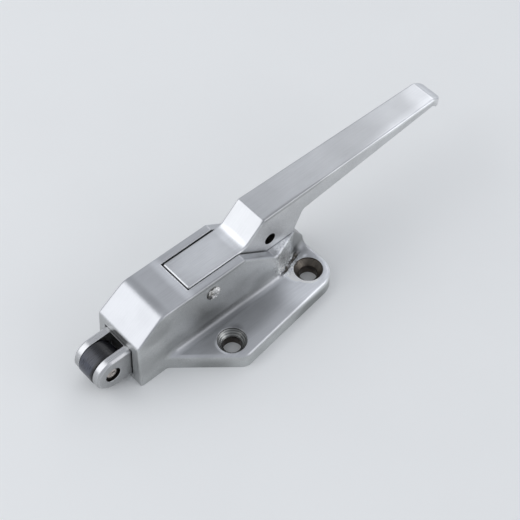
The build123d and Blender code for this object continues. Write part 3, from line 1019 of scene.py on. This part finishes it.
@dataclass
class BaseGroup:
    """Base plate with its four screws, and the spring on its guide.

    Args:
        shank_radius: Radius of a screw.
        head_radius: Radius of its head.
        screw_length: Length of a screw.
        socket_radius: Radius of the round socket in the head.
        socket_depth: Depth of the socket.
    """

    shank_radius: float = 1.25 * MM
    head_radius: float = 2.35 * MM
    screw_length: float = 8.0 * MM
    socket_radius: float = 0.95 * MM
    socket_depth: float = 0.9 * MM

    def build(self) -> None:
        """Dress the plate, the guide and the spring, and model the screws."""
        finishes = {
            "base_plate": SmallMetal("mill_sheet", (0.50, 0.51, 0.52), (0.40, 0.41, 0.42), 0.38,
                                     Grain.BELT, Axis.X),
            "spring_guide": SmallMetal("turned_guide", (0.56, 0.56, 0.56), (0.42, 0.42, 0.42),
                                       0.30, Grain.BELT, Axis.Y),
            "tongue_spring": SmallMetal("spring_wire", (0.40, 0.40, 0.42), (0.26, 0.26, 0.28),
                                        0.34, Grain.BLAST),
        }
        for node, finish in finishes.items():
            Workshop.dress(node, finish.build())
        self.screws()

    def screws(self) -> None:
        """Four countersunk screws with round sockets, modelled once and copied."""
        low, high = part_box("base_plate_screws")
        xs = (low[0] + self.head_radius, high[0] - self.head_radius)
        ys = (low[1] + self.head_radius, high[1] - self.head_radius)
        place, *others = ((x, y) for x in xs for y in ys)
        finish = SmallMetal("plate_screw_steel", (0.46, 0.46, 0.47), (0.30, 0.30, 0.31), 0.30,
                            Grain.BLAST)
        first = Workshop.rod("plate_screw_1", (*place, self.screw_length / 2), self.shank_radius,
                             self.screw_length, Axis.Z, 36)
        self.shape_head(first)
        Workshop.finish(first, finish.build(), "frame", "pin_steel")
        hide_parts("base_plate_screws")
        for number, (x, y) in enumerate(others, start=2):
            Workshop.clear()
            mesh = first.data.copy()
            mesh.transform(Matrix.Translation((x - place[0], y - place[1], 0)))
            copy = bpy.data.objects.new(f"plate_screw_{number}", mesh)
            bpy.context.scene.collection.objects.link(copy)
            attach(copy, "frame")
            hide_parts("base_plate_screws")
            log.info("%s: copied", copy.name)

    def shape_head(self, piece: bpy.types.Object) -> None:
        """Flare the lower end into a countersunk head and sink a round socket in it.

        Args:
            piece: The screw's bar.
        """
        rise = self.head_radius - self.shank_radius
        bpy.ops.object.mode_set(mode="EDIT")
        bpy.ops.mesh.select_all(action="SELECT")
        bpy.ops.mesh.bisect(plane_co=(0, 0, rise), plane_no=(0, 0, 1))
        Workshop.pick(piece, "FACE", lambda face: face.normal.z < -FACING)
        flare = self.head_radius / self.shank_radius
        low = [v.co for v in piece.data.vertices if v.co.z < TOUCH]
        centre = (sum(p.x for p in low) / len(low), sum(p.y for p in low) / len(low), 0)
        bpy.ops.transform.resize(value=(flare, flare, 1), center_override=centre)
        bpy.ops.mesh.inset(thickness=self.head_radius - self.socket_radius, depth=0)
        Workshop.draw_out((0, 0, self.socket_depth))
        Workshop.pick(piece, "FACE", lambda face: face.normal.z > FACING)
        Workshop.crown(((0.25, 0.15),))
        bpy.ops.object.mode_set(mode="OBJECT")


@dataclass(frozen=True)
class StudioView:
    """Camera at the photograph's viewing angle.

    Args:
        centre: Camera's place in metres.
        azimuth: Turn about Z in degrees.
        elevation: Height above the horizon in degrees.
        roll: Turn about the line of sight in degrees.
        focal_pixels: Focal length in pixels of the image.
        image_width: Width of the image in pixels.
        sensor_width: Width of the camera's sensor in millimetres.
    """

    centre: Place = (-0.242636, -0.324343, 0.574611)
    azimuth: float = -41.391
    elevation: float = 52.800
    roll: float = -0.231
    focal_pixels: float = 1390.18
    image_width: float = 520.0
    sensor_width: float = 36.0

    def build(self) -> None:
        """Make the camera and look through it."""
        turn, tilt, roll = (math.radians(v) for v in (self.azimuth, self.elevation, self.roll))
        back = Vector((math.sin(turn) * math.cos(tilt), -math.cos(turn) * math.cos(tilt),
                       math.sin(tilt)))
        level = Vector((math.cos(turn), math.sin(turn), 0))
        right = math.cos(roll) * level + math.sin(roll) * back.cross(level)
        place = Matrix((right, back.cross(right), back)).transposed().to_4x4()
        place.translation = Vector(self.centre)
        data = bpy.data.cameras.new("studio_camera")
        data.sensor_width = self.sensor_width
        data.lens = self.focal_pixels * data.sensor_width / self.image_width
        data.clip_start = 0.01
        data.clip_end = 20.0
        camera = bpy.data.objects.new("studio_camera", data)
        camera.matrix_world = place
        bpy.context.scene.collection.objects.link(camera)
        bpy.context.scene.camera = camera


@dataclass(frozen=True)
class SoftLamp:
    """One large soft lamp.

    Args:
        name: Name of the lamp.
        direction: Where it stands, seen from the object.
        width: Width of its square face in metres.
        watts: Its power.
        distance: How far away, in metres.
        target: Place that it shines at.
    """

    name: str
    direction: Place
    width: float
    watts: float
    distance: float = 1.1
    target: Place = spot(30, 0, 20)

    def build(self) -> None:
        """Hang the lamp and turn it to the object."""
        data = bpy.data.lights.new(self.name, "AREA")
        data.shape = "SQUARE"
        data.size = self.width
        data.energy = self.watts
        lamp = bpy.data.objects.new(self.name, data)
        aim = Vector(self.direction).normalized()
        lamp.matrix_world = Matrix.Translation(aim * self.distance + Vector(self.target)) @ (
            aim.to_track_quat("Z", "Y").to_matrix().to_4x4())
        bpy.context.scene.collection.objects.link(lamp)


@dataclass(frozen=True)
class Studio:
    """Pale floor, plain surroundings and soft lamps.

    Args:
        floor_tint: Colour of the floor.
        floor_size: Width of the floor in metres.
        world_tint: Colour of the surroundings.
        world_strength: Their brightness.
        lamps: The lamps.
    """

    floor_tint: Tint = (0.87, 0.88, 0.885)
    floor_size: float = 8.0
    world_tint: Tint = (0.92, 0.95, 1.0)
    world_strength: float = 0.62
    lamps: tuple[SoftLamp, ...] = (
        SoftLamp("key_lamp", (-0.65, 0.45, 0.61), 1.10, 4.45),
        SoftLamp("back_lamp", (0.80, 0.42, 0.60), 0.55, 0.95),
        SoftLamp("edge_lamp", (0.46, -0.76, 0.45), 0.60, 1.50),
    )

    def build(self) -> None:
        """Make the floor, the surroundings and the lamps."""
        self.floor()
        self.world()
        for lamp in self.lamps:
            lamp.build()
        bpy.context.scene.view_settings.view_transform = "Standard"

    def floor(self) -> None:
        """Plain pale floor under the mounting face."""
        Workshop.clear()
        bpy.ops.mesh.primitive_grid_add(x_subdivisions=8, y_subdivisions=8, size=self.floor_size,
                                        location=(0, 0, 0))
        floor = bpy.context.object
        floor.name = "studio_floor"
        bpy.ops.object.transform_apply(location=True, rotation=True, scale=True)
        bench = ShaderBench("studio_floor")
        colour = bench.mix(bench.fit(bench.noise(9, 3.0), 0.3, 0.7), shade(self.floor_tint),
                           shade(self.floor_tint, 0.985))
        bench.fill(bench.surface, {"Base Color": colour})
        bench.surface.inputs["Roughness"].default_value = 0.85
        floor.data.materials.append(bench.material)

    def world(self) -> None:
        """Even pale surroundings."""
        world = bpy.data.worlds.new("studio_world")
        world.use_nodes = True
        background = world.node_tree.nodes["Background"]
        background.inputs["Color"].default_value = shade(self.world_tint)
        background.inputs["Strength"].default_value = self.world_strength
        bpy.context.scene.world = world


def main() -> None:
    """Build every group in order."""
    logging.basicConfig(level=logging.INFO, format="%(name)s: %(message)s")
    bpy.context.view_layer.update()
    for group in (StudioView(), Studio(), HousingGroup(), TongueGroup(), HandleGroup(),
                  BaseGroup()):
        group.build()
    bpy.context.view_layer.update()


if __name__ == "__main__":
    main()
